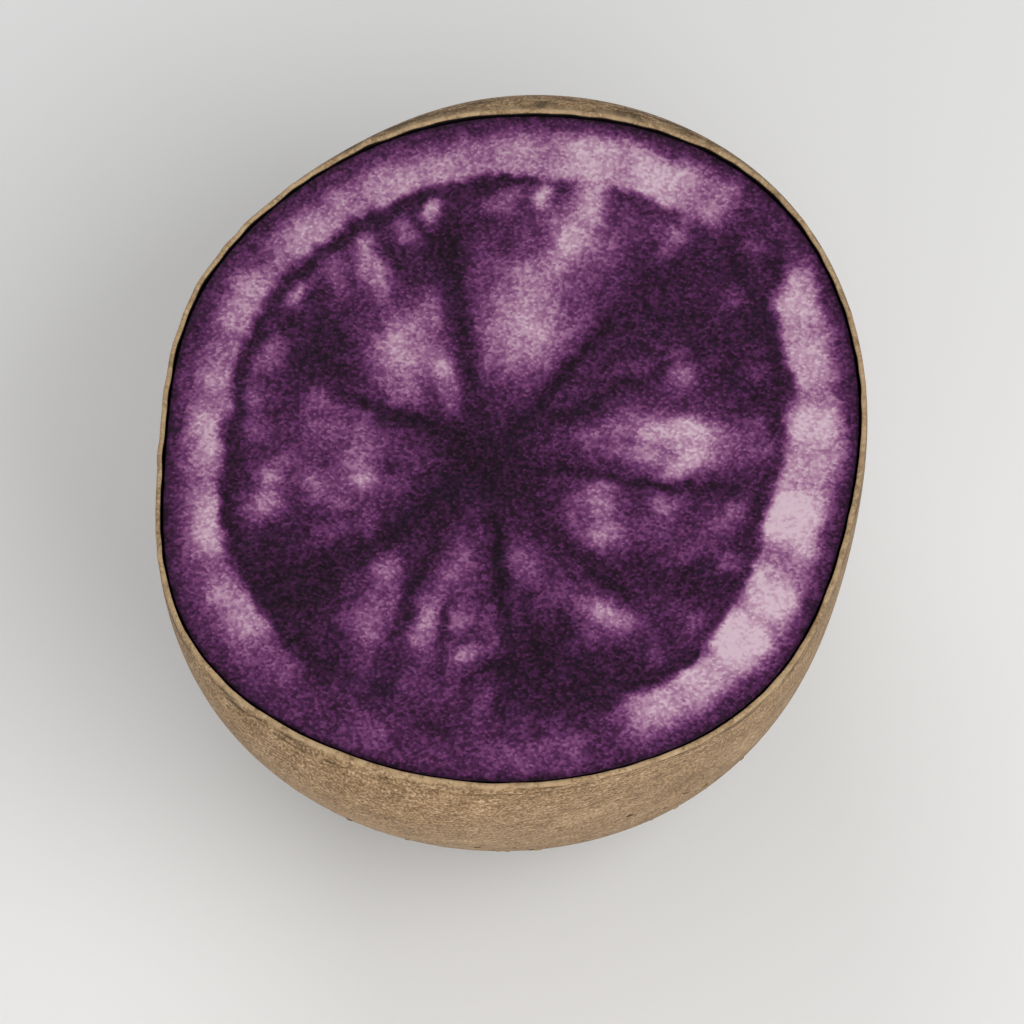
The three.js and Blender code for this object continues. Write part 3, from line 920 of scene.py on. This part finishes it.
def makeLenticels(skinMesh):
    holder = newObject("lenticelHolder", skinMesh)
    tree = makeLenticelTree()
    values = {"Density": lenticels["perSquareMm"] / mm ** 2, "Spacing": lenticels["spacing"] * mm,
              "Seed": lenticels["seed"], "Cluster Size": lenticels["clusters"] * mm,
              "Dense Below": lenticels["denseBelow"] * mm, "None Above": lenticels["noneAbove"] * mm,
              "Radius": lenticels["radius"] * mm, "Shape": lenticels["shape"],
              "Smallest": lenticels["smallest"], "Material": makeLenticelMaterial()}
    scatter = holder.modifiers.new("lenticels", "NODES")
    scatter.node_group = tree
    for item in tree.interface.items_tree:
        if item.in_out == "INPUT" and item.name in values:
            scatter[item.identifier] = values[item.name]
    made = bpy.data.meshes.new_from_object(holder.evaluated_get(bpy.context.evaluated_depsgraph_get()))
    holder.modifiers.remove(scatter)
    bpy.data.objects.remove(holder)
    return newObject("skin_lenticels", made)


# The buds in the eyes: a larger one and one on each side of it
buds = {
    # for each, shares of the eye's width along it and up it, and its size
    "places": [(0.0, 0.04, 1.0), (-0.36, -0.02, 0.6), (0.34, 0.0, 0.66)],
    "radius": 0.17, "height": 0.13, "long": 1.3, "point": 0.25, "around": 20, "rows": 7,
    "sunk": 0.3, "closedAt": 0.36,  # how deep the foot's rim and its middle are set into the skin
    "base": (86, 62, 52), "tip": (118, 78, 88), "tipFrom": (0.2, 0.95), "tipShare": 0.9,
    "scales": (0.25, 2.0, 0.6), "scaleFrom": (0.5, 0.7), "scaleShare": 0.5,
    "roughness": 0.6, "scaleRoughness": 0.2, "specular": 0.3, "bumpHeight": 0.05, "bumpStrength": 0.5,
}


def addBud(rings, eye, foot, radius, height):
    angles = ringAngles(buds["around"])[:, None]
    spread = np.cos(angles) * buds["long"] * eye["along"] + np.sin(angles) * eye["up"]
    last = None
    for row in range(buds["rows"]):
        share = row / buds["rows"]
        reach = radius * math.cos(share * math.pi / 2) * (1 - buds["point"] * share)
        lift = height * math.sin(share * math.pi / 2) - (buds["sunk"] if row == 0 else 0)
        ring = rings.add(foot + reach * spread + lift * eye["outward"], tip=share)
        if last:
            rings.join(last, ring, True)
        else:
            rings.join(ring, rings.add(foot - buds["closedAt"] * eye["outward"]))
        last = ring
    rings.join(last, rings.add(foot + height * eye["outward"], tip=1.0), True)


def makeBudMesh():
    rings = Rings("tip")
    for eye in eyePlaces:
        for along, up, size in buds["places"]:
            foot = eye["centre"] + eye["along"] * along * eye["width"] + eye["up"] * up * eye["width"]
            foot = foot + eye["outward"] * eyeRelief(foot)[0]
            radius, height = (buds[name] * eye["width"] * size for name in ("radius", "height"))
            addBud(rings, eye, foot, radius, height)
    return rings.mesh("eyeBuds")


def makeBudMaterial():
    made, wire = newMaterial("budScales")
    scales = wire.noise(placeInMm(wire), *buds["scales"])
    tip = attribute(wire, "tip").rise(*buds["tipFrom"])
    colour = wire.blend(tip * buds["tipShare"], tint(*buds["base"]), tint(*buds["tip"]))
    colour = colour.covered(scales.rise(*buds["scaleFrom"]) * buds["scaleShare"], skinLook["speck"])
    roughness = buds["roughness"] + (scales - 0.5) * buds["scaleRoughness"]
    finish(wire, colour, roughness, buds["specular"], wire.bump(scales, buds))
    return made


print("building the flesh")
fleshPiece = newObject("potato_flesh", makeFleshMesh())
fleshPiece.data.materials.append(makeFleshMaterial())
print("flesh:", len(fleshPiece.data.polygons), "faces")

print("building the skin")
skinPiece = newObject("potato_skin", makeSkinMesh())
skinPiece.data.materials.append(makeSkinMaterial())
print("skin:", len(skinPiece.data.polygons), "faces")

print("scattering the lenticels")
dotsPiece = makeLenticels(skinPiece.data)
print("lenticels:", len(dotsPiece.data.polygons), "faces")

budPiece = newObject("eye_buds", makeBudMesh())
budPiece.data.materials.append(makeBudMaterial())
print("buds:", len(budPiece.data.polygons), "faces")

for piece, slot in ((fleshPiece, "flesh"), (skinPiece, "skin"), (dotsPiece, "skin"), (budPiece, "skin")):
    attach(piece, "root")
    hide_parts("half_potato")


# Floor and light: a pale table in a soft studio
studio = {
    "floorSize": 3000, "floorColour": (243, 242, 240), "floorRoughness": 0.8, "floorSpecular": 0.2,
    "worldColour": (235, 238, 242), "worldStrength": 0.4,
    # name: direction [azimuth from the camera's side, elevation], distance, size, watts
    "lights": {
        "key": (42, 52, 420, 300, 0.9),
        "front": (-12, 22, 460, 320, 0.68),
        "back": (-160, 48, 460, 260, 0.4),
    },
}


def makeStudio():
    bpy.ops.mesh.primitive_plane_add(size=studio["floorSize"] * mm, location=(0, 0, cadBox[0][2]))
    floor = bpy.context.object
    floor.name = "floor"
    made, wire = newMaterial("paleTable")
    finish(wire, tint(*studio["floorColour"]), studio["floorRoughness"], studio["floorSpecular"])
    floor.data.materials.append(made)
    world = bpy.data.worlds.new("studio")
    world.use_nodes = True
    scene.world = world
    background = world.node_tree.nodes["Background"]
    background.inputs["Color"].default_value = tint(*studio["worldColour"])
    background.inputs["Strength"].default_value = studio["worldStrength"]
    for name, (azimuth, elevation, distance, size, watts) in studio["lights"].items():
        light = bpy.data.lights.new(name, "AREA")
        light.size, light.energy = size * mm, watts
        lamp = bpy.data.objects.new(name, light)
        turn, rise = math.radians(azimuth), math.radians(elevation)
        away = Vector((math.sin(turn) * math.cos(rise), -math.cos(turn) * math.cos(rise), math.sin(rise)))
        lamp.location = away * distance * mm
        lamp.rotation_euler = away.to_track_quat("Z", "Y").to_euler()
        scene.collection.objects.link(lamp)
    scene.view_settings.view_transform = "Standard"


makeStudio()
print("studio lit")
